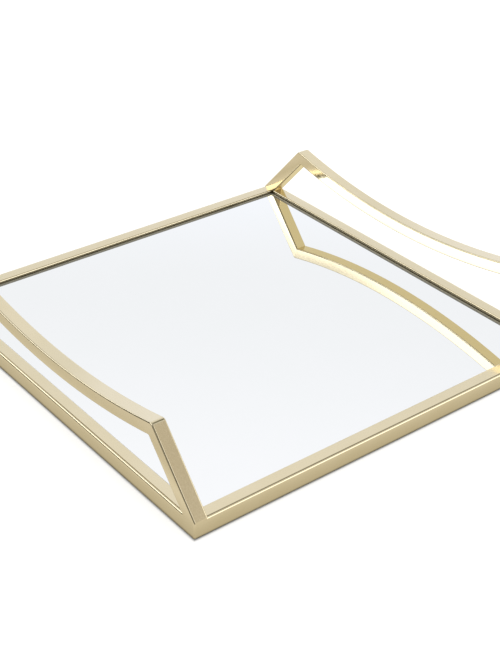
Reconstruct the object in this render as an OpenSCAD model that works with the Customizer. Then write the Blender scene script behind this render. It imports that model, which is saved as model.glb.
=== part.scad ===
// Square mirrored vanity tray: a mitred frame of plated steel tube, a welded handle on two sides,
// and a silvered mirror taped to a hardboard panel that screws up under ledges inside the frame.
// +X points from the left handle to the right one, +Y from the front rail to the back, and +Z up.
// The origin is on the table, below the middle of the tray.

/* [Frame] */
// Length along X, over the outer faces of the two handle rails
tray_l = 305; // [220:1:480]
// Width along Y, over the outer faces of the front and back rails
tray_w = 305; // [220:1:480]
// Width of the rail tube, seen from above
rail_w = 9.5; // [8:0.1:14]
// Height of the rail tube
rail_h = 11.7; // [10:0.1:18]
// Wall of every steel tube
tube_wall = 1.2; // [0.8:0.1:1.6]
// Radius along the long edges of every tube, and down the frame's four corners
edge_r = 0.8; // [0.5:0.1:1.2]

/* [Handles] */
// Rise from the top of the rails to the highest corner of a handle
handle_h = 44.7; // [32:0.1:60]
// How far a post leans in, from the end of the frame to the handle's outer corner
post_run = 39.7; // [15:0.1:55]
// How far the grip dips between its two ends
grip_sag = 13.5; // [6:0.1:18]
// Width of the handle tube, seen from above
bar_w = 9.5; // [8:0.1:14]
// Depth of the handle tube, seen from the side
bar_t = 9; // [7:0.1:13]
// Radius ground on the outer corner where a grip meets a post
handle_corner_r = 3; // [1:0.1:6]

/* [Mirror] */
// Thickness of the mirror glass
glass_t = 3; // [2:0.1:5]
// Drop from the top of the rails to the face of the glass
mirror_drop = 2.3; // [0.5:0.1:4]
// Gap left between the glass and the frame
glass_gap = 0.4; // [0.2:0.1:1.5]
// Thickness of the silvering and its backing paint
coating_t = 0.1; // [0.05:0.05:0.3]
// Width of each strip of foam tape
tape_w = 18; // [8:0.5:30]
// Thickness of the foam tape
tape_t = 0.8; // [0.5:0.1:1.6]
// Number of tape strips
tape_count = 5; // [2:1:8]
// Distance from the edge of the board to the tape
tape_inset = 9; // [4:0.5:25]

/* [Base] */
// Thickness of the hardboard panel
board_t = 2.5; // [2:0.1:4]
// Gap left between the panel and the frame
board_gap = 0.8; // [0.3:0.1:2]
// Width of the ledge strips, measured from the rail
ledge_w = 9; // [8.5:0.1:14]
// Thickness of the ledge strips
ledge_t = 1; // [0.8:0.1:2]
// Radius of the screw shanks
screw_r = 1.2; // [0.9:0.1:1.4]
// Radius of the screw heads
screw_head_r = 2.8; // [2:0.1:3.2]
// Height of the screw heads
screw_head_h = 0.8; // [0.5:0.1:1.2]
// How deep the screws bite into the panel
screw_bite = 2; // [1:0.1:2]
// Distance of each screw from the inner corner of the frame
screw_inset = 48; // [20:0.5:80]
// Radial clearance round a screw in its ledge hole
screw_gap = 0.15; // [0.1:0.05:0.4]
// Radial clearance round a screw in its pilot hole
pilot_gap = 0.05; // [0:0.05:0.1]
// Thickness of the felt cloth under the panel
cloth_t = 0.9; // [0.5:0.1:1.5]
// Gap left between the cloth and the ledges
cloth_gap = 1; // [0.5:0.1:3]
// Radius of each felt foot
foot_r = 3.5; // [2.5:0.1:5]
// Thickness of each felt foot
foot_t = 0.8; // [0.5:0.1:2]
// Distance of each foot from the end of its rail
foot_inset = 17; // [11:0.5:40]

/* [Hidden] */
half_l = tray_l / 2;
half_w = tray_w / 2;
inner_l = tray_l - 2 * rail_w;
inner_w = tray_w - 2 * rail_w;

// Heights of the stack, worked out down from the top of the rails
rail_top_z = foot_t + rail_h;
glass_top_z = rail_top_z - mirror_drop;
glass_z = glass_top_z - glass_t;
coating_z = glass_z - coating_t;
tape_z = coating_z - tape_t;
board_z = tape_z - board_t;
ledge_z = board_z - ledge_t;
cloth_z = board_z - cloth_t;

// A side view of the handle, in Y and Z, at its +Y end
handle_top_z = rail_top_z + handle_h;
grip_half = half_w - post_run;
grip_arc_r = (pow(grip_half, 2) + pow(grip_sag, 2)) / (2 * grip_sag);
grip_arc_z = handle_top_z - grip_sag + grip_arc_r;
post_lean = atan2(post_run, handle_h);
post_len = norm([post_run, handle_h]);
post_foot = [half_w, rail_top_z];
post_up = [-sin(post_lean), cos(post_lean)];
post_in = [-cos(post_lean), -sin(post_lean)];

// The point at one depth below both the post's outer face and the grip's top face
function corner_at(depth) =
    let (
        from = post_foot + depth * post_in,
        reach = from - [0, grip_arc_z],
        middle = reach * post_up,
        offset = reach * reach - pow(grip_arc_r + depth, 2)
    )
    from + (-middle - sqrt(middle * middle - offset)) * post_up;

corner_out = corner_at(0);
corner_in = corner_at(bar_t);
corner_mid = corner_at(handle_corner_r);
mitre = corner_out - corner_in;
mitre_out = corner_out + mitre / 2;
mitre_in = corner_in - mitre / 2;

// Extra length on cutting shapes, so that they pass right through
over = 1;

$fn = 48;

// Colours
gold = [0.82, 0.75, 0.58];
silver = [0.93, 0.94, 0.95];
paint_grey = [0.42, 0.43, 0.44];
foam_white = [0.9, 0.89, 0.85];
board_brown = [0.45, 0.31, 0.19];
screw_steel = [0.66, 0.66, 0.64];
felt_black = [0.08, 0.08, 0.09];

// A rectangle with round corners, its lower left corner at the origin
module round_rect(w, h, r) {
    translate([r, 0])
        square([w - 2 * r, h]);
    translate([0, r])
        square([w, h - 2 * r]);
    for (x = [r, w - r], y = [r, h - r])
        translate([x, y])
            circle(r);
}

// The cross-section of a rectangular tube
module tube_section(w, h) {
    difference() {
        round_rect(w, h, edge_r);
        translate([tube_wall, tube_wall])
            square([w - 2 * tube_wall, h - 2 * tube_wall]);
    }
}

// Extrudes a side view, drawn in Y and Z, along X from x to x + depth
module from_side(x, depth) {
    translate([x, 0, 0])
        rotate([90, 0, 90])
            linear_extrude(depth)
                children();
}

// A rail along X with its outer face at y = 0, mitred at both ends
module rail(length) {
    half = length / 2;
    reach = rail_w + over;
    intersection() {
        from_side(-half, length)
            tube_section(rail_w, rail_h);
        translate([0, 0, -over])
            linear_extrude(rail_h + 2 * over)
                intersection() {
                    polygon([
                        [-half - over, -over], [half + over, -over],
                        [half - reach, reach], [reach - half, reach]
                    ]);
                    translate([-half, 0])
                        round_rect(length, 3 * reach, edge_r);
                }
    }
}

// What is ground off the outer corner between a grip and a post, as a side view
module corner_spandrel() {
    to_arc = [0, grip_arc_z] - corner_mid;
    difference() {
        polygon([
            corner_mid,
            corner_mid - handle_corner_r * post_in,
            corner_out + mitre / 2,
            corner_mid + handle_corner_r * to_arc / norm(to_arc)
        ]);
        translate(corner_mid)
            circle(handle_corner_r);
    }
}

// The post at the +Y end of a handle, from x to x + bar_w
module back_post(x) {
    foot_in = post_foot[0] - bar_t / cos(post_lean);
    difference() {
        intersection() {
            translate([x, post_foot[0], post_foot[1]])
                rotate([post_lean, 0, 0])
                    translate([0, -bar_t, -2 * bar_t])
                        linear_extrude(post_len + 4 * bar_t)
                            tube_section(bar_w, bar_t);
            from_side(x - over, bar_w + 2 * over)
                polygon([
                    [foot_in - over, rail_top_z], [half_w + over, rail_top_z],
                    mitre_out, mitre_in
                ]);
        }
        from_side(x - over, bar_w + 2 * over)
            corner_spandrel();
    }
}

module front_post(x) {
    mirror([0, 1, 0])
        back_post(x);
}

// The curved bar between two posts, from x to x + bar_w
module grip(x) {
    half_span = asin(mitre_out[0] / grip_arc_r) + over;
    difference() {
        intersection() {
            translate([x, 0, grip_arc_z])
                rotate([90, 0, 90])
                    rotate([0, 0, 270 - half_span])
                        rotate_extrude(angle = 2 * half_span, $fn = 1440)
                            translate([grip_arc_r, 0])
                                tube_section(bar_t, bar_w);
            from_side(x - over, bar_w + 2 * over)
                polygon([
                    mitre_out, mitre_in, [mitre_in[0], rail_top_z],
                    [-mitre_in[0], rail_top_z], [-mitre_in[0], mitre_in[1]],
                    [-mitre_out[0], mitre_out[1]]
                ]);
        }
        for (end = [0, 1])
            mirror([0, end, 0])
                from_side(x - over, bar_w + 2 * over)
                    corner_spandrel();
    }
}

// A flat plate inside the frame, with a gap all round
module panel(gap, z, thick) {
    translate([gap - inner_l / 2, gap - inner_w / 2, z])
        cube([inner_l - 2 * gap, inner_w - 2 * gap, thick]);
}

// Places the children at each screw
module at_screws() {
    for (x = [-1, 1], y = [-1, 1]) {
        translate([x * (inner_l / 2 - screw_inset), y * (inner_w - ledge_w) / 2, 0])
            children();
        translate([x * (inner_l - ledge_w) / 2, y * (inner_w / 2 - screw_inset), 0])
            children();
    }
}

// A ledge strip along X or Y, centred on x and y, drilled for its screws
module ledge(x, y, size_x, size_y) {
    difference() {
        translate([x - size_x / 2, y - size_y / 2, ledge_z])
            cube([size_x, size_y, ledge_t]);
        at_screws()
            translate([0, 0, ledge_z - over])
                cylinder(r = screw_r + screw_gap, h = ledge_t + 2 * over);
    }
}

module foot(x, y) {
    color(felt_black)
        translate([x * (half_l - foot_inset), y * (half_w - rail_w / 2), 0])
            cylinder(r = foot_r, h = foot_t);
}

module front_rail() {
    color(gold)
        translate([0, -half_w, foot_t])
            rail(tray_l);
}

module back_rail() {
    color(gold)
        translate([0, half_w, foot_t])
            rotate([0, 0, 180])
                rail(tray_l);
}

module left_rail() {
    color(gold)
        translate([-half_l, 0, foot_t])
            rotate([0, 0, -90])
                rail(tray_w);
}

module right_rail() {
    color(gold)
        translate([half_l, 0, foot_t])
            rotate([0, 0, 90])
                rail(tray_w);
}

module left_front_post() {
    color(gold)
        front_post(-half_l);
}

module left_back_post() {
    color(gold)
        back_post(-half_l);
}

module right_front_post() {
    color(gold)
        front_post(half_l - bar_w);
}

module right_back_post() {
    color(gold)
        back_post(half_l - bar_w);
}

module left_grip() {
    color(gold)
        grip(-half_l);
}

module right_grip() {
    color(gold)
        grip(half_l - bar_w);
}

module mirror_glass() {
    color(silver)
        panel(glass_gap, glass_z, glass_t);
}

module mirror_coating() {
    color(paint_grey)
        panel(glass_gap, coating_z, coating_t);
}

module tape_strips() {
    first = tape_inset + board_gap - inner_l / 2;
    pitch = (inner_l - 2 * (tape_inset + board_gap) - tape_w) / (tape_count - 1);
    long = inner_w - 2 * (tape_inset + board_gap);
    color(foam_white)
        for (i = [0 : tape_count - 1])
            translate([first + i * pitch, -long / 2, tape_z])
                cube([tape_w, long, tape_t]);
}

module backing_board() {
    color(board_brown)
        difference() {
            panel(board_gap, board_z, board_t);
            at_screws()
                translate([0, 0, board_z - over])
                    cylinder(r = screw_r + pilot_gap, h = board_t + 2 * over);
        }
}

module front_ledge() {
    color(gold)
        ledge(0, (ledge_w - inner_w) / 2, inner_l, ledge_w);
}

module back_ledge() {
    color(gold)
        ledge(0, (inner_w - ledge_w) / 2, inner_l, ledge_w);
}

module left_ledge() {
    color(gold)
        ledge((ledge_w - inner_l) / 2, 0, ledge_w, inner_w - 2 * ledge_w);
}

module right_ledge() {
    color(gold)
        ledge((inner_l - ledge_w) / 2, 0, ledge_w, inner_w - 2 * ledge_w);
}

module board_screws() {
    color(screw_steel)
        at_screws() {
            translate([0, 0, ledge_z - screw_head_h])
                cylinder(r = screw_head_r, h = screw_head_h);
            translate([0, 0, ledge_z - screw_head_h])
                cylinder(r = screw_r, h = screw_head_h + ledge_t + screw_bite);
        }
}

module base_cloth() {
    color(felt_black)
        panel(ledge_w + cloth_gap, cloth_z, cloth_t);
}

module foot_front_left() {
    foot(-1, -1);
}

module foot_front_right() {
    foot(1, -1);
}

module foot_back_left() {
    foot(-1, 1);
}

module foot_back_right() {
    foot(1, 1);
}

front_rail();
back_rail();
left_rail();
right_rail();
left_front_post();
left_back_post();
right_front_post();
right_back_post();
left_grip();
right_grip();
mirror_glass();
mirror_coating();
tape_strips();
backing_board();
front_ledge();
back_ledge();
left_ledge();
right_ledge();
board_screws();
base_cloth();
foot_front_left();
foot_front_right();
foot_back_left();
foot_back_right();
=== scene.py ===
"""Square mirrored vanity tray in pale gold plated steel tube, shown on a plain studio table."""

import math

import bmesh
import bpy
from mathutils import Matrix, Vector


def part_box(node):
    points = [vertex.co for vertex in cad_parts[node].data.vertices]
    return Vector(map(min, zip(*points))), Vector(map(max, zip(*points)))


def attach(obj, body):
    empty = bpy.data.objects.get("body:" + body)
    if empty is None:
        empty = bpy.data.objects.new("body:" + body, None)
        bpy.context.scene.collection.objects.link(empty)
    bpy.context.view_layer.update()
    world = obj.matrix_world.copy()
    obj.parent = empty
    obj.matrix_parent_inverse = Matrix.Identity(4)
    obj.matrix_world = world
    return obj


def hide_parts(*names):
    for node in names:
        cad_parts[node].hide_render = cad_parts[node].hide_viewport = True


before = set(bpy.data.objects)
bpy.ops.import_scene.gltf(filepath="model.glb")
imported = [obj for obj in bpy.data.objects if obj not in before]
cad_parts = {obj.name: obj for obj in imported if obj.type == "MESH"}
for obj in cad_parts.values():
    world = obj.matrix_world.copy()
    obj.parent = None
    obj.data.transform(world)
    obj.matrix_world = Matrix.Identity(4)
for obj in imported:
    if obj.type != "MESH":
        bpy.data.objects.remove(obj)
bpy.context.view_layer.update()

# ---------------------------------------------------------------------------------------------------
# Camera. It looks down over the front left corner from about a metre away, with a long lens, so the
# two handles stay nearly parallel. It is turned a little about its own line of sight.
camera_side = math.radians(-39.09)
camera_height = math.radians(32.08)
camera_roll = math.radians(1.34)
camera_away = 0.9248
camera_target = Vector((0.0056, -0.0023, 0.0003))
camera_lens = 72.73
film_width = 36
nearest_seen = 0.02

back = Vector((
    math.sin(camera_side) * math.cos(camera_height),
    -math.cos(camera_side) * math.cos(camera_height),
    math.sin(camera_height),
))
turned = back.to_track_quat("Z", "Y").to_matrix() @ Matrix.Rotation(camera_roll, 3, "Z")
bpy.ops.object.camera_add(location=camera_target + camera_away * back, rotation=turned.to_euler())
camera = bpy.context.object
camera.name = "studio_camera"
camera.data.lens = camera_lens
camera.data.sensor_width = film_width
camera.data.clip_start = nearest_seen
bpy.context.scene.camera = camera

# ---------------------------------------------------------------------------------------------------
# Frame rails. Four lengths of rectangular steel tube, their edges rounded, and most of all at the top
# outside. They are mitred, welded and ground smooth at the corners, then polished and plated pale gold
# under a clear lacquer.
rail_low, rail_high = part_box("front_rail")
edge_r = 0.0006
edge_steps = 4
inner_edge_r = 0.0009
corner_edge_r = 0.0008
crown_r = 0.0018
crown_steps = 6
smooth_angle = math.radians(35)
slack = edge_r / 20
square_on = 0.99


def linear(hex_colour):
    """A hex colour such as "E6DEC8", turned from sRGB to the linear values a shader takes."""
    channels = [int(hex_colour[i:i + 2], 16) / 255 for i in (0, 2, 4)]
    return [c / 12.92 if c <= 0.04045 else ((c + 0.055) / 1.055) ** 2.4 for c in channels] + [1]


def add_node(tree, kind, settings=None, inputs=None):
    """Adds a node with its settings, and with a value or a link for each input named or numbered."""
    made = tree.nodes.new(kind)
    for name, value in (settings or {}).items():
        setattr(made, name, value)
    for name, value in (inputs or {}).items():
        if isinstance(value, bpy.types.NodeSocket):
            tree.links.new(value, made.inputs[name])
        else:
            made.inputs[name].default_value = value
    return made


def new_material(name):
    """An empty material with only its output node, ready for the nodes of one finish."""
    material = bpy.data.materials.new(name)
    material.use_nodes = True
    material.node_tree.nodes.clear()
    return material, material.node_tree


def pick(kind, test):
    """Selects, in edit mode, only the faces or edges that pass the test."""
    bpy.ops.mesh.select_mode(type=kind)
    bpy.ops.mesh.select_all(action="DESELECT")
    mesh = bmesh.from_edit_mesh(bpy.context.object.data)
    mesh.normal_update()
    for part in {"EDGE": mesh.edges, "FACE": mesh.faces}[kind]:
        part.select_set(test(part))
    mesh.select_flush_mode()
    bmesh.update_edit_mesh(bpy.context.object.data)


def only(piece):
    """Makes one object the only selected one, and the active one."""
    bpy.ops.object.select_all(action="DESELECT")
    piece.select_set(True)
    bpy.context.view_layer.objects.active = piece


def block(name, low, high):
    """A cube primitive at its size and place, left in edit mode with all of it selected."""
    bpy.ops.object.select_all(action="DESELECT")
    bpy.ops.mesh.primitive_cube_add(size=1, location=(low + high) / 2, scale=high - low)
    bpy.ops.object.transform_apply(location=True, rotation=True, scale=True)
    bpy.context.object.name = name
    bpy.context.object.data.name = name
    bpy.ops.object.mode_set(mode="EDIT")
    return bpy.context.object


def copy_of(piece, name):
    """A copy of a piece with its own mesh, made the only selected object."""
    twin = piece.copy()
    twin.data = piece.data.copy()
    twin.name = name
    twin.data.name = name
    bpy.context.scene.collection.objects.link(twin)
    only(twin)
    return twin


def cut_off(point, outward):
    """Cuts the piece being edited on a plane, drops what lies outward, and closes the cut."""
    bpy.ops.mesh.select_all(action="SELECT")
    bpy.ops.mesh.bisect(plane_co=point, plane_no=outward, use_fill=True, clear_outer=True)


def soften(piece):
    """Shades a piece smooth with its flat faces kept flat, by weighting normals by face area."""
    only(piece)
    bpy.ops.object.shade_smooth_by_angle(angle=smooth_angle)
    bpy.ops.object.modifier_add(type="WEIGHTED_NORMAL")
    piece.modifiers[-1].keep_sharp = True
    bpy.ops.object.modifier_apply(modifier=piece.modifiers[-1].name)


def settle(piece, material, slot, *nodes):
    """Gives a piece its finish, and has it stand for its CAD nodes on the tray's one body."""
    piece.data.materials.clear()
    piece.data.materials.append(material)
    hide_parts(*nodes)
    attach(piece, "root")


# Pale gold plated steel, polished and lacquered: a bright metal with soft reflections, its tint a
# little uneven every 15 mm or so. The polishing mop's lines are too fine to see, so they are drawn as
# a very faint grain about 1 mm across.
gold_steel, tree = new_material("plated_polished_steel")
place = add_node(tree, "ShaderNodeTexCoord")
cloudy = add_node(tree, "ShaderNodeTexNoise", {}, {
    "Vector": place.outputs["Object"], "Scale": 60, "Detail": 3, "Roughness": 0.55,
})
tint = add_node(tree, "ShaderNodeMix", {"data_type": "RGBA"}, {
    0: cloudy.outputs["Fac"], 6: linear("DBCFAF"), 7: linear("E1D6BA"),
})
grain = add_node(tree, "ShaderNodeTexNoise", {}, {
    "Vector": place.outputs["Object"], "Scale": 900, "Detail": 2, "Roughness": 0.5,
})
satin = add_node(tree, "ShaderNodeMapRange", {}, {
    "Value": grain.outputs["Fac"], "From Min": 0.3, "From Max": 0.7, "To Min": 0.09, "To Max": 0.15,
})
ripple = add_node(tree, "ShaderNodeBump", {}, {
    "Strength": 0.05, "Distance": 0.0002, "Height": grain.outputs["Fac"],
})
shader = add_node(tree, "ShaderNodeBsdfPrincipled", {}, {
    "Base Color": tint.outputs[2], "Metallic": 1, "Roughness": satin.outputs["Result"],
    "Normal": ripple.outputs["Normal"],
})
add_node(tree, "ShaderNodeOutputMaterial", {}, {"Surface": shader.outputs["BSDF"]})

tube_w = rail_high.y - rail_low.y
outer = Vector((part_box("right_rail")[1].x, -rail_low.y, rail_high.z))

ring = block("rail_ring", Vector((-outer.x, -outer.y, rail_low.z)), outer)
pick("FACE", lambda face: abs(face.normal.z) > square_on)
bpy.ops.mesh.inset(thickness=tube_w, depth=0)
bpy.ops.mesh.bridge_edge_loops()


def round_edges(test, radius, steps):
    """Rounds the edges that pass the test, in the piece being edited."""
    pick("EDGE", test)
    bpy.ops.mesh.bevel(offset=radius, segments=steps, affect="EDGES", clamp_overlap=False)


def along_tube(edge):
    """True for an edge that runs along X or Y, and not for a mitre or an upright edge."""
    run = (edge.verts[1].co - edge.verts[0].co).normalized()
    return max(abs(run.x), abs(run.y)) > square_on


def is_crown(edge):
    """True for an edge along a tube at the top of the frame's outer faces."""
    middle = (edge.verts[0].co + edge.verts[1].co) / 2
    outside = max(abs(middle.x) - outer.x, abs(middle.y) - outer.y) > -slack
    return along_tube(edge) and outside and middle.z > outer.z - slack


def is_inner_top(edge):
    """True for an edge along a tube at the top of the frame's inner faces."""
    middle = (edge.verts[0].co + edge.verts[1].co) / 2
    inside = max(abs(middle.x) - outer.x, abs(middle.y) - outer.y) < slack - tube_w
    return along_tube(edge) and inside and middle.z > outer.z - slack


def down_corner(edge):
    """True for an edge that runs down one of the frame's four outer corners."""
    a, b = (v.co for v in edge.verts)
    on_mitre = all(abs((outer.x - abs(c.x)) - (outer.y - abs(c.y))) < slack for c in (a, b))
    return on_mitre and abs(a.z - b.z) > slack and min(abs(a.x), abs(b.x)) > outer.x - crown_r


round_edges(
    lambda edge: along_tube(edge) and not is_crown(edge) and not is_inner_top(edge), edge_r, edge_steps
)
round_edges(is_inner_top, inner_edge_r, edge_steps)
round_edges(is_crown, crown_r, crown_steps)
round_edges(down_corner, corner_edge_r, edge_steps)
bpy.ops.object.mode_set(mode="OBJECT")

for name, toward in (
    ("front_rail", Vector((0, -1, 0))), ("back_rail", Vector((0, 1, 0))),
    ("left_rail", Vector((-1, 0, 0))), ("right_rail", Vector((1, 0, 0))),
):
    rail = copy_of(ring, name + "_tube")
    bpy.ops.object.mode_set(mode="EDIT")
    along = Vector((toward.y, toward.x, 0))
    for end in (-1, 1):
        corner = (toward + end * along) * outer
        cut_off(corner, end * along - toward)
    bpy.ops.object.mode_set(mode="OBJECT")
    soften(rail)
    settle(rail, gold_steel, "plated_steel", name)

only(ring)
bpy.ops.object.delete()

# ---------------------------------------------------------------------------------------------------
# Handles. Each is a length of nearly square steel tube bent to a shallow dip for the grip, with two
# leaning posts mitred and welded to its ends. The outer corners are ground round, and the feet of the
# posts are welded to the rails and dressed flush with the frame.
handle_h = 0.0447
post_run = 0.0397
grip_sag = 0.0135
bar_d = 0.009
bar_edge_r = 0.001
bar_edge_steps = 4
weld_taper = 0.97
roughly_square = 0.9
corner_r = 0.003
corner_steps = 8
grip_steps = 40
spare = 0.02

foot_y = outer.y
foot_z = outer.z
grip_half = foot_y - post_run
arc_r = (grip_half ** 2 + grip_sag ** 2) / (2 * grip_sag)
arc_centre = Vector((0, 0, foot_z + handle_h - grip_sag + arc_r))
post_up = Vector((0, -post_run, handle_h)).normalized()
post_in = Vector((0, -handle_h, -post_run)).normalized()


def corner_at(depth):
    """The point, in side view, that lies this deep below both the post's and the grip's outside."""
    start = Vector((0, foot_y, foot_z)) + depth * post_in
    from_centre = start - arc_centre
    halfway = from_centre.dot(post_up)
    surplus = from_centre.length_squared - (arc_r + depth) ** 2
    return start - (halfway + math.sqrt(halfway ** 2 - surplus)) * post_up


corner_out = corner_at(0)
corner_in = corner_at(bar_d)
mitre_line = corner_out - corner_in
mitre_outward = Vector((0, mitre_line.z, -mitre_line.y)).normalized()

bar_low, bar_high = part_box("left_grip")
bar_w = bar_high.x - bar_low.x
grip_top = arc_centre.z - arc_r
slice_y = 0.001
handle = block(
    "left_handle_bar",
    Vector((bar_low.x, -slice_y, grip_top - bar_d)), Vector((bar_high.x, 0, grip_top)),
)
pick("FACE", lambda face: face.normal.y > square_on)
bpy.ops.mesh.spin(
    steps=grip_steps, angle=-math.asin((grip_half + spare) / arc_r), center=arc_centre,
    axis=(1, 0, 0),
)
cut_off(Vector((0, 0, 0)), Vector((0, -1, 0)))
cut_off(corner_out, mitre_outward)
pick("FACE", lambda face: face.normal.dot(mitre_outward) > square_on)
bpy.ops.mesh.extrude_region_move(
    TRANSFORM_OT_translate={"value": -(handle_h / post_up.z + spare) * post_up}
)
cut_off(Vector((0, 0, foot_z)), Vector((0, 0, -1)))

# The weld that fills the rail's rounded edge below the post, dressed flush with the frame outside.
pick("FACE", lambda face: face.normal.z < -square_on and face.calc_center_median().z < foot_z + slack)
bpy.ops.mesh.extrude_region_move(TRANSFORM_OT_translate={"value": (0, 0, -crown_r)})
bpy.ops.transform.resize(value=(weld_taper, weld_taper, 1), center_override=(-outer.x, foot_y, 0))

# The other half of the handle, mirrored at the middle of the grip.
pick("FACE", lambda face: abs(face.normal.y) > square_on and abs(face.calc_center_median().y) < slack)
bpy.ops.mesh.delete(type="FACE")
bpy.ops.object.mode_set(mode="OBJECT")
bpy.ops.object.modifier_add(type="MIRROR")
handle.modifiers[-1].use_axis = (False, True, False)
handle.modifiers[-1].merge_threshold = slack
bpy.ops.object.modifier_apply(modifier=handle.modifiers[-1].name)

bpy.ops.object.mode_set(mode="EDIT")
bpy.ops.mesh.select_all(action="SELECT")
bpy.ops.mesh.normals_make_consistent(inside=False)


def is_ground_corner(edge):
    """True for the edge across the bar where a grip and a post meet on the outside."""
    return all(
        abs(abs(v.co.y) - corner_out.y) < edge_r and abs(v.co.z - corner_out.z) < edge_r
        for v in edge.verts
    )


def is_bar_edge(edge):
    """True for an edge between a side of the bar and its top, end or underside."""
    across = sorted(abs(face.normal.x) for face in edge.link_faces)
    on_weld = max(v.co.z for v in edge.verts) < foot_z - crown_r / 2
    return across[0] < 1 - roughly_square and across[-1] > roughly_square and not on_weld


grip_slope = math.atan2(corner_out.y, arc_centre.z - corner_out.z)
post_slope = math.atan2(post_up.z, -post_up.y)
corner_back = corner_r * math.tan((post_slope + grip_slope) / 2)
round_edges(is_ground_corner, corner_back, corner_steps)
round_edges(is_bar_edge, bar_edge_r, bar_edge_steps)
bpy.ops.object.mode_set(mode="OBJECT")

for side, shift in (("left", 0), ("right", 2 * outer.x - bar_w)):
    bar = copy_of(handle, side + "_bar")
    bpy.ops.object.mode_set(mode="EDIT")
    bpy.ops.mesh.select_all(action="SELECT")
    bpy.ops.transform.translate(value=(shift, 0, 0))
    bpy.ops.object.mode_set(mode="OBJECT")

    flip = Vector((1, -1, 1))
    grip = copy_of(bar, side + "_grip_bar")
    bpy.ops.object.mode_set(mode="EDIT")
    cut_off(corner_out, mitre_outward)
    cut_off(corner_out * flip, mitre_outward * flip)
    bpy.ops.object.mode_set(mode="OBJECT")
    soften(grip)
    settle(grip, gold_steel, "plated_steel", side + "_grip")

    for end, way in (("back", Vector((1, 1, 1))), ("front", flip)):
        post = copy_of(bar, side + "_" + end + "_post_bar")
        bpy.ops.object.mode_set(mode="EDIT")
        cut_off(corner_out * way, -mitre_outward * way)
        bpy.ops.object.mode_set(mode="OBJECT")
        soften(post)
        settle(post, gold_steel, "plated_steel", side + "_" + end + "_post")

    only(bar)
    bpy.ops.object.delete()

only(handle)
bpy.ops.object.delete()

# ---------------------------------------------------------------------------------------------------
# Mirror. A sheet of 3 mm float glass, its edges ground and its corners nipped, silvered behind. The
# silver stops short of the edge, where grey sealing paint shows through the glass. The band is wider
# along the back and the right, and that extra width is painted shade for the dark band along the far
# rails.
arris = 0.0003
arris_steps = 2
seal_w = 0.0021
painted_shade_shift = Vector((-0.0012, -0.0012, 0))

# Silvered glass: nearly all light comes back sharply, very slightly cool from the glass, with a haze
# too faint to notice in clouds of about 40 mm.
mirror_silver, tree = new_material("silvered_mirror_glass")
place = add_node(tree, "ShaderNodeTexCoord")
haze = add_node(tree, "ShaderNodeTexNoise", {}, {
    "Vector": place.outputs["Object"], "Scale": 25, "Detail": 4, "Roughness": 0.6,
})
polish = add_node(tree, "ShaderNodeMapRange", {}, {
    "Value": haze.outputs["Fac"], "From Min": 0.35, "From Max": 0.65, "To Min": 0.012, "To Max": 0.02,
})
tone = add_node(tree, "ShaderNodeMix", {"data_type": "RGBA"}, {
    0: haze.outputs["Fac"], 6: linear("F3F5F6"), 7: linear("F5F6F8"),
})
shader = add_node(tree, "ShaderNodeBsdfPrincipled", {}, {
    "Base Color": tone.outputs[2], "Metallic": 1, "Roughness": polish.outputs["Result"],
})
add_node(tree, "ShaderNodeOutputMaterial", {}, {"Surface": shader.outputs["BSDF"]})

# Matt grey paint seen through clear glass: dark, mottled every 3 mm or so, with the glass's own gloss
# over it. Along the back and the right it is widened as painted shade for the dark band by the far
# rails.
seal_and_painted_shade_paint, tree = new_material("grey_edge_seal_and_painted_shade")
place = add_node(tree, "ShaderNodeTexCoord")
mottle = add_node(tree, "ShaderNodeTexNoise", {}, {
    "Vector": place.outputs["Object"], "Scale": 300, "Detail": 3,
})
tone = add_node(tree, "ShaderNodeMix", {"data_type": "RGBA"}, {
    0: mottle.outputs["Fac"], 6: linear("67655B"), 7: linear("77756A"),
})
shader = add_node(tree, "ShaderNodeBsdfPrincipled", {}, {
    "Base Color": tone.outputs[2], "Roughness": 0.25,
})
add_node(tree, "ShaderNodeOutputMaterial", {}, {"Surface": shader.outputs["BSDF"]})

glass_low, glass_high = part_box("mirror_glass")
mirror = block("mirror_plate", glass_low, glass_high)
round_edges(lambda edge: True, arris, arris_steps)
pick("FACE", lambda face: face.normal.z > square_on)
bpy.ops.mesh.inset(thickness=seal_w - arris, depth=0)
# Shifting the silver leaves a wider grey band at the back and the right, as painted shade.
bpy.ops.transform.translate(value=painted_shade_shift)
bpy.ops.object.mode_set(mode="OBJECT")
soften(mirror)
settle(mirror, seal_and_painted_shade_paint, "mirror", "mirror_glass")
mirror.data.materials.append(mirror_silver)
for face in mirror.data.polygons:
    if face.normal.z > square_on and face.area > (glass_high.x - glass_low.x) ** 2 / 2:
        face.material_index = 1

# ---------------------------------------------------------------------------------------------------
# Mirror backing. The silver is covered by flat grey paint, five strips of white foam tape hold the
# glass, and a panel of brown tempered hardboard carries it. All three are flat sheets cut square.
# Rolled-on paint: matt, with a faint orange peel of about 1.5 mm.
backing_paint, tree = new_material("grey_mirror_backing_paint")
place = add_node(tree, "ShaderNodeTexCoord")
peel = add_node(tree, "ShaderNodeTexNoise", {}, {
    "Vector": place.outputs["Object"], "Scale": 700, "Detail": 2,
})
tone = add_node(tree, "ShaderNodeMix", {"data_type": "RGBA"}, {
    0: peel.outputs["Fac"], 6: linear("6B6D6F"), 7: linear("757779"),
})
bump = add_node(tree, "ShaderNodeBump", {}, {
    "Strength": 0.2, "Distance": 0.0001, "Height": peel.outputs["Fac"],
})
shader = add_node(tree, "ShaderNodeBsdfPrincipled", {}, {
    "Base Color": tone.outputs[2], "Roughness": 0.65, "Normal": bump.outputs["Normal"],
})
add_node(tree, "ShaderNodeOutputMaterial", {}, {"Surface": shader.outputs["BSDF"]})

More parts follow.
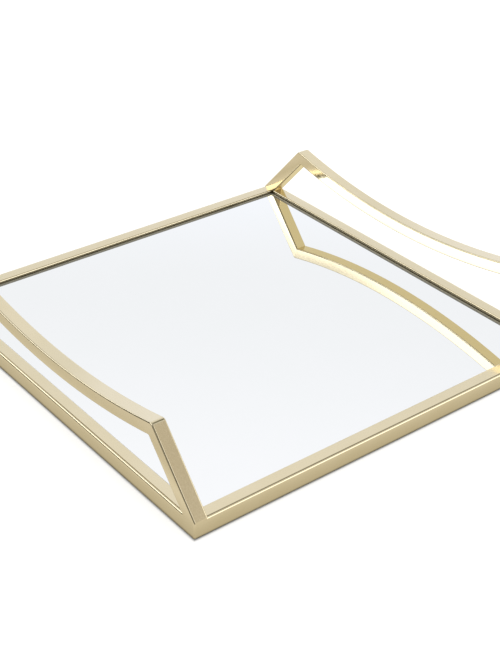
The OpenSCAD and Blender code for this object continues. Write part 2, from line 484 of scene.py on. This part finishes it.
# Closed-cell foam: cells about 0.2 mm across, off-white, with no shine.
foam, tree = new_material("white_closed_cell_foam")
place = add_node(tree, "ShaderNodeTexCoord")
cells = add_node(tree, "ShaderNodeTexVoronoi", {}, {
    "Vector": place.outputs["Object"], "Scale": 5000,
})
tone = add_node(tree, "ShaderNodeMix", {"data_type": "RGBA"}, {
    0: cells.outputs["Distance"], 6: linear("E3E1D8"), 7: linear("F2F0E9"),
})
bump = add_node(tree, "ShaderNodeBump", {}, {
    "Strength": 0.4, "Distance": 0.00005, "Height": cells.outputs["Distance"],
})
shader = add_node(tree, "ShaderNodeBsdfPrincipled", {}, {
    "Base Color": tone.outputs[2], "Roughness": 0.85, "Normal": bump.outputs["Normal"],
})
add_node(tree, "ShaderNodeOutputMaterial", {}, {"Surface": shader.outputs["BSDF"]})

# Pressed wood fibre: brown, with darker and lighter fibres one to three millimetres long.
hardboard, tree = new_material("brown_tempered_hardboard")
place = add_node(tree, "ShaderNodeTexCoord")
fibres = add_node(tree, "ShaderNodeTexNoise", {}, {
    "Vector": place.outputs["Object"], "Scale": 500, "Detail": 5, "Roughness": 0.7, "Distortion": 2,
})
tone = add_node(tree, "ShaderNodeMix", {"data_type": "RGBA"}, {
    0: fibres.outputs["Fac"], 6: linear("5B3F28"), 7: linear("8A6544"),
})
bump = add_node(tree, "ShaderNodeBump", {}, {
    "Strength": 0.3, "Distance": 0.0001, "Height": fibres.outputs["Fac"],
})
shader = add_node(tree, "ShaderNodeBsdfPrincipled", {}, {
    "Base Color": tone.outputs[2], "Roughness": 0.6, "Normal": bump.outputs["Normal"],
})
add_node(tree, "ShaderNodeOutputMaterial", {}, {"Surface": shader.outputs["BSDF"]})

for name, finish in (
    ("mirror_coating", backing_paint), ("tape_strips", foam), ("backing_board", hardboard),
):
    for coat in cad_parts[name].material_slots:
        coat.material = finish

# ---------------------------------------------------------------------------------------------------
# Board screws. Eight small pan-head screws of zinc-plated steel with a cross recess, turned up through
# the ledges into the panel. Modelled once at the first place and copied to the other seven.
screw_out = 0.1385
screw_along = 0.095
round_sides = 48
shank_r = 0.0012
point_taper = 0.15
head_steps = 4
head_round = 0.0005
recess_w = 0.0006
recess_l = 0.0028
recess_deep = 0.0005
screw_low, screw_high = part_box("board_screws")
head_r = screw_high.x - screw_out
ledge_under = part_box("front_ledge")[0].z

# Bright zinc plate: a cool grey metal, duller in patches of about 1 mm where screws rubbed together in
# the plating barrel.
zinc_steel, tree = new_material("zinc_plated_steel")
place = add_node(tree, "ShaderNodeTexCoord")
patches = add_node(tree, "ShaderNodeTexNoise", {}, {
    "Vector": place.outputs["Object"], "Scale": 900, "Detail": 3,
})
tone = add_node(tree, "ShaderNodeMix", {"data_type": "RGBA"}, {
    0: patches.outputs["Fac"], 6: linear("BFC1C2"), 7: linear("D3D4D3"),
})
dull = add_node(tree, "ShaderNodeMapRange", {}, {
    "Value": patches.outputs["Fac"], "From Min": 0.3, "From Max": 0.7, "To Min": 0.24, "To Max": 0.4,
})
shader = add_node(tree, "ShaderNodeBsdfPrincipled", {}, {
    "Base Color": tone.outputs[2], "Metallic": 1, "Roughness": dull.outputs["Result"],
})
add_node(tree, "ShaderNodeOutputMaterial", {}, {"Surface": shader.outputs["BSDF"]})


def carve(piece, cutter):
    """Cuts the cutter's shape out of a piece, and deletes the cutter."""
    only(piece)
    bpy.ops.object.modifier_add(type="BOOLEAN")
    piece.modifiers[-1].object = cutter
    piece.modifiers[-1].solver = "EXACT"
    bpy.ops.object.modifier_apply(modifier=piece.modifiers[-1].name)
    only(cutter)
    bpy.ops.object.delete()


def disc(name, middle, radius, low, high):
    """An upright cylinder primitive at its size and place, left in edit mode."""
    bpy.ops.object.select_all(action="DESELECT")
    bpy.ops.mesh.primitive_cylinder_add(
        vertices=round_sides, radius=radius, depth=high - low,
        location=(middle.x, middle.y, (low + high) / 2),
    )
    bpy.ops.object.transform_apply(location=True, rotation=True, scale=True)
    bpy.context.object.name = name
    bpy.context.object.data.name = name
    bpy.ops.object.mode_set(mode="EDIT")
    return bpy.context.object


screw_places = [
    Vector((x, y, 0)) for along in (-screw_along, screw_along) for out in (-screw_out, screw_out)
    for x, y in ((along, out), (out, along))
]
first = screw_places[0]
screw = disc("first_screw", first, head_r, screw_low.z, ledge_under)
round_edges(lambda edge: all(v.co.z < screw_low.z + slack for v in edge.verts), head_round, head_steps)
pick("FACE", lambda face: face.normal.z > square_on)
bpy.ops.mesh.inset(thickness=head_r - shank_r, depth=0)
bpy.ops.mesh.extrude_region_move(
    TRANSFORM_OT_translate={"value": (0, 0, screw_high.z - ledge_under - shank_r)}
)
bpy.ops.mesh.extrude_region_move(TRANSFORM_OT_translate={"value": (0, 0, shank_r)})
bpy.ops.transform.resize(value=(point_taper, point_taper, 1), center_override=(first.x, first.y, 0))
bpy.ops.object.mode_set(mode="OBJECT")
for long, wide in ((recess_l, recess_w), (recess_w, recess_l)):
    half = Vector((long / 2, wide / 2, recess_deep))
    middle = first + Vector((0, 0, screw_low.z))
    cutter = block("recess_cutter", middle - half, middle + half)
    bpy.ops.object.mode_set(mode="OBJECT")
    carve(screw, cutter)

copies = []
for there in screw_places:
    twin = copy_of(screw, "screw_copy")
    bpy.ops.object.mode_set(mode="EDIT")
    bpy.ops.mesh.select_all(action="SELECT")
    bpy.ops.transform.translate(value=there - first)
    bpy.ops.object.mode_set(mode="OBJECT")
    copies.append(twin)
only(screw)
bpy.ops.object.delete()
only(copies[0])
for twin in copies:
    twin.select_set(True)
bpy.ops.object.join()
screws = bpy.context.object
screws.name = "pan_head_screws"
screws.data.name = "pan_head_screws"
soften(screws)
settle(screws, zinc_steel, "zinc_steel", "board_screws")

# ---------------------------------------------------------------------------------------------------
# Ledges. Four strips of 1 mm sheet steel, sheared with slightly rolled edges and drilled, welded inside
# the rails under the panel and plated together with the frame.
ledge_edge_r = 0.0002
ledge_edge_steps = 2
ledge_hole_r = 0.00135

for name in ("front_ledge", "back_ledge", "left_ledge", "right_ledge"):
    low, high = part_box(name)
    strip = block(name + "_strip", low, high)
    round_edges(lambda edge: True, ledge_edge_r, ledge_edge_steps)
    bpy.ops.object.mode_set(mode="OBJECT")
    for there in screw_places:
        if low.x < there.x < high.x and low.y < there.y < high.y:
            drill = disc("drill", there, ledge_hole_r, low.z - edge_r, high.z + edge_r)
            bpy.ops.object.mode_set(mode="OBJECT")
            carve(strip, drill)
    soften(strip)
    settle(strip, gold_steel, "plated_steel", name)

# ---------------------------------------------------------------------------------------------------
# Base cloth. Black wool felt, cut square and glued over the middle of the panel, so that the tray's
# underside is soft. Pressing it down left its free edges a little round.
cloth_round = 0.0004
cloth_steps = 3

# Felt: a fuzz of matted fibres, drawn coarser than it is at about 0.4 mm, in tufts of about 2 mm, with
# a grey bloom.
black_felt, tree = new_material("black_wool_felt")
place = add_node(tree, "ShaderNodeTexCoord")
fuzz = add_node(tree, "ShaderNodeTexNoise", {}, {
    "Vector": place.outputs["Object"], "Scale": 2600, "Detail": 4, "Roughness": 0.75, "Distortion": 1.5,
})
tufts = add_node(tree, "ShaderNodeTexNoise", {}, {
    "Vector": place.outputs["Object"], "Scale": 420, "Detail": 3, "Roughness": 0.6,
})
mixed = add_node(tree, "ShaderNodeMix", {"data_type": "FLOAT"}, {
    0: 0.45, 2: fuzz.outputs["Fac"], 3: tufts.outputs["Fac"],
})
tone = add_node(tree, "ShaderNodeMix", {"data_type": "RGBA"}, {
    0: mixed.outputs[0], 6: linear("0E0E0F"), 7: linear("343435"),
})
bump = add_node(tree, "ShaderNodeBump", {}, {
    "Strength": 0.9, "Distance": 0.0003, "Height": mixed.outputs[0],
})
shader = add_node(tree, "ShaderNodeBsdfPrincipled", {}, {
    "Base Color": tone.outputs[2], "Roughness": 0.95, "Sheen Weight": 0.15, "Sheen Roughness": 0.5,
    "Normal": bump.outputs["Normal"],
})
add_node(tree, "ShaderNodeOutputMaterial", {}, {"Surface": shader.outputs["BSDF"]})

cloth_low, cloth_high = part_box("base_cloth")
cloth = block("felt_base_cloth", cloth_low, cloth_high)
round_edges(lambda edge: all(v.co.z < cloth_low.z + slack for v in edge.verts), cloth_round, cloth_steps)
bpy.ops.object.mode_set(mode="OBJECT")
soften(cloth)
settle(cloth, black_felt, "black_felt", "base_cloth")

# ---------------------------------------------------------------------------------------------------
# Feet. Four discs punched from the same black felt, stuck under the rails near the corners. The punch
# leaves the rim next to the glue crisp and the free rim rounded.
foot_round = 0.0003
foot_steps = 3

for end in ("front", "back"):
    for side in ("left", "right"):
        name = "foot_" + end + "_" + side
        low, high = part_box(name)
        pad = disc("felt_" + name, (low + high) / 2, (high.x - low.x) / 2, low.z, high.z)
        round_edges(lambda edge: all(v.co.z < low.z + slack for v in edge.verts), foot_round, foot_steps)
        bpy.ops.object.mode_set(mode="OBJECT")
        soften(pad)
        settle(pad, black_felt, "black_felt", name)

# ---------------------------------------------------------------------------------------------------
# Studio. A plain pale table and soft light from all round: white at the back, a tall bright window at
# the left, a bright wall low down at the front right, and a dim room behind the camera. Reflections
# see these shapes, and all other light is an even white.
table_size = 40
table_glow = 0.6
glow_edge = 0.0012
card_lift = 0.0002
side_edge = 0.01
window_turn = math.radians(45)
window_edge = 0.02
patch_edge = 0.04
even_white = 1.08


def level(red, green, blue):
    """A colour of light, as strong as its numbers say."""
    return (red, green, blue, 1)


def ramp(tree, value, start, end, most=1):
    """A number that goes smoothly from 0 to its most as the value goes from start to end."""
    made = add_node(tree, "ShaderNodeMapRange", {"interpolation_type": "SMOOTHSTEP"}, {
        "Value": value, "From Min": start, "From Max": end, "To Min": 0, "To Max": most,
    })
    return made.outputs["Result"]


def blend(tree, mask, one, other):
    """One colour of light where the mask is 0, and the other where it is 1."""
    made = add_node(tree, "ShaderNodeMix", {"data_type": "RGBA"}, {0: mask, 6: one, 7: other})
    return made.outputs[2]


def fade(tree, value, start, end, one, other):
    """One colour of light until the value reaches start, turning smoothly to the other at end."""
    return blend(tree, ramp(tree, value, start, end), one, other)


def beyond_tray(tree, axes):
    """How far a point of the table lies outside the tray's square."""
    across = add_node(tree, "ShaderNodeMath", {"operation": "ABSOLUTE"}, {0: axes.outputs["X"]})
    deep = add_node(tree, "ShaderNodeMath", {"operation": "ABSOLUTE"}, {0: axes.outputs["Y"]})
    larger = add_node(tree, "ShaderNodeMath", {"operation": "MAXIMUM"}, {
        0: across.outputs["Value"], 1: deep.outputs["Value"],
    })
    return add_node(tree, "ShaderNodeMath", {"operation": "SUBTRACT"}, {
        0: larger.outputs["Value"], 1: outer.x,
    }).outputs["Value"]


# Matt white paper with a fleck of 2 to 3 mm that hardly shows. It glows by itself wherever the tray
# doesn't cover it, a painted light that keeps its shadows faint, and has no glow under the tray, a
# painted shade.
paper, tree = new_material("white_paper_with_painted_glow")
place = add_node(tree, "ShaderNodeTexCoord")
axes = add_node(tree, "ShaderNodeSeparateXYZ", {}, {"Vector": place.outputs["Object"]})
# Painted light: the table glows outside the tray's square, with painted shade where it has no glow under
# the tray.
glow = ramp(tree, beyond_tray(tree, axes), -glow_edge, glow_edge, table_glow)
fleck = add_node(tree, "ShaderNodeTexNoise", {}, {"Vector": place.outputs["Object"], "Scale": 400})
shade = add_node(tree, "ShaderNodeMix", {"data_type": "RGBA"}, {
    0: fleck.outputs["Fac"], 6: linear("BDBDBB"), 7: linear("C1C1C0"),
})
shader = add_node(tree, "ShaderNodeBsdfPrincipled", {}, {
    "Base Color": shade.outputs[2], "Roughness": 0.9, "Emission Color": linear("FFFFFF"),
    "Emission Strength": glow,
})
add_node(tree, "ShaderNodeOutputMaterial", {}, {"Surface": shader.outputs["BSDF"]})

bpy.ops.object.select_all(action="DESELECT")
bpy.ops.mesh.primitive_plane_add(size=table_size, location=(0, 0, 0))
table = bpy.context.object
table.name = "studio_table"
table.data.materials.append(paper)

# A warm card just over the table that only reflections see, a painted reflection of the table with
# painted shade: dark under the tray, dim close to it, warm beyond, more golden on the right, and ending
# in a painted shadow further off on the left.
painted_reflection_tones, tree = new_material("painted_reflection_card")
place = add_node(tree, "ShaderNodeTexCoord")
axes = add_node(tree, "ShaderNodeSeparateXYZ", {}, {"Vector": place.outputs["Object"]})
sideways = axes.outputs["X"]
away = beyond_tray(tree, axes)
painted_reflection = level(0.66, 0.61, 0.49)
# Painted shade close to the tray: dim within a few centimetres, brighter further out.
for start, end, tone in (
    (0, 0.02, level(0.94, 0.89, 0.78)),
    (0.016, 0.032, level(0.75, 0.7, 0.58)),
    (0.03, 0.044, level(0.83, 0.78, 0.68)),
):
    painted_reflection = fade(tree, away, start, end, painted_reflection, tone)
painted_reflection = fade(tree, sideways, outer.x, outer.x + side_edge, painted_reflection, level(0.9, 0.82, 0.57))
# Painted shadow further off on the left.
painted_shadow = fade(tree, away, 0.092, 0.13, painted_reflection, level(0.08, 0.07, 0.05))
painted_reflection = fade(tree, sideways, -outer.x, -outer.x - side_edge, painted_reflection, painted_shadow)
# Painted shade right at and under the tray's edge.
painted_reflection = fade(tree, away, 0, 0.0024, level(0.1, 0.095, 0.08), painted_reflection)
shader = add_node(tree, "ShaderNodeEmission", {}, {"Color": painted_reflection, "Strength": 1})
add_node(tree, "ShaderNodeOutputMaterial", {}, {"Surface": shader.outputs["Emission"]})

bpy.ops.object.select_all(action="DESELECT")
bpy.ops.mesh.primitive_plane_add(size=table_size, location=(0, 0, card_lift))
painted_reflection_card = bpy.context.object
painted_reflection_card.name = "painted_reflection_table_card"
painted_reflection_card.data.materials.append(painted_reflection_tones)
painted_reflection_card.visible_camera = False
painted_reflection_card.visible_diffuse = False
painted_reflection_card.visible_shadow = False

# The light all round. Height is the sine of a direction's angle above the level, and facing() is the
# cosine of its angle from another direction, so each shape of light is given by where it starts and
# ends on one of the two.
world = bpy.data.worlds.new("studio_light")
bpy.context.scene.world = world
world.use_nodes = True
tree = world.node_tree
tree.nodes.clear()
place = add_node(tree, "ShaderNodeTexCoord")
axes = add_node(tree, "ShaderNodeSeparateXYZ", {}, {"Vector": place.outputs["Generated"]})
height = axes.outputs["Z"]


def facing(tree, direction):
    """How far a ray points along a direction, as a cosine."""
    return add_node(tree, "ShaderNodeVectorMath", {"operation": "DOT_PRODUCT"}, {
        0: place.outputs["Generated"], 1: Vector(direction).normalized(),
    }).outputs["Value"]


# White screens at the back, cooler low down, and a dimmer ceiling.
around = level(1.07, 1.09, 1.16)
for start, end, tone in (
    (0.38, 0.5, level(0.97, 0.975, 0.98)),
    (0.5, 0.64, level(1.04, 1.04, 1.05)),
    (0.66, 0.82, level(0.9, 0.89, 0.86)),
):
    around = fade(tree, height, start, end, around, tone)

# Two dark patches high up, at the right and at the back, and a slightly dimmer right-hand side.
for high_up, start in (((0.534, 0.04, 0.845), 0.94), ((0.1, 0.66, 0.745), 0.96)):
    patch = facing(tree, high_up)
    around = fade(tree, patch, start, start + patch_edge, around, level(0.28, 0.27, 0.22))
around = fade(tree, facing(tree, (0.97, -0.24, 0)), 0.8, 0.95, around, level(0.8, 0.78, 0.72))

# The window: a half of the room, dim at its foot, bright above and dim again at the top.
window = fade(tree, height, 0.22, 0.34, level(0.5, 0.48, 0.43), level(2.2, 2.2, 2.2))
window = fade(tree, height, 0.62, 0.72, window, level(0.45, 0.44, 0.4))
to_window = facing(tree, (-math.cos(window_turn), -math.sin(window_turn), 0))
around = fade(tree, to_window, -window_edge, window_edge, around, window)

# At the back left, where the window ends: black below the sill, and a bright band above it.
sill = fade(tree, height, 0.28, 0.34, level(0, 0, 0), level(3.4, 3.4, 3.3))
sill = fade(tree, height, 0.42, 0.5, sill, around)
around = fade(tree, facing(tree, (-0.74, 0.67, 0)), 0.8, 0.88, around, sill)

# The wall at the front right, tan above and paler low down, with a bright lamp low in its middle.
to_lamp = facing(tree, (0.63, -0.777, 0))
wall = fade(tree, height, 0.3, 0.5, level(0.9, 0.86, 0.76), level(0.67, 0.62, 0.54))
around = fade(tree, to_lamp, 0.62, 0.8, around, wall)
lamp = fade(tree, height, 0.43, 0.52, level(2, 2, 2), around)
around = fade(tree, to_lamp, 0.82, 0.88, around, lamp)

# The dim room behind the camera, and the even white that takes the place of all this for every ray
# that isn't a reflection.
around = fade(tree, facing(tree, (-0.6, -0.7, 0.38)), 0.75, 0.92, around, level(0.2, 0.19, 0.16))
rays = add_node(tree, "ShaderNodeLightPath")
around = blend(tree, rays.outputs["Is Glossy Ray"], level(even_white, even_white, even_white), around)
sky = add_node(tree, "ShaderNodeBackground", {}, {"Color": around, "Strength": 1})
add_node(tree, "ShaderNodeOutputWorld", {}, {"Surface": sky.outputs["Background"]})
bpy.context.scene.view_settings.view_transform = "Standard"
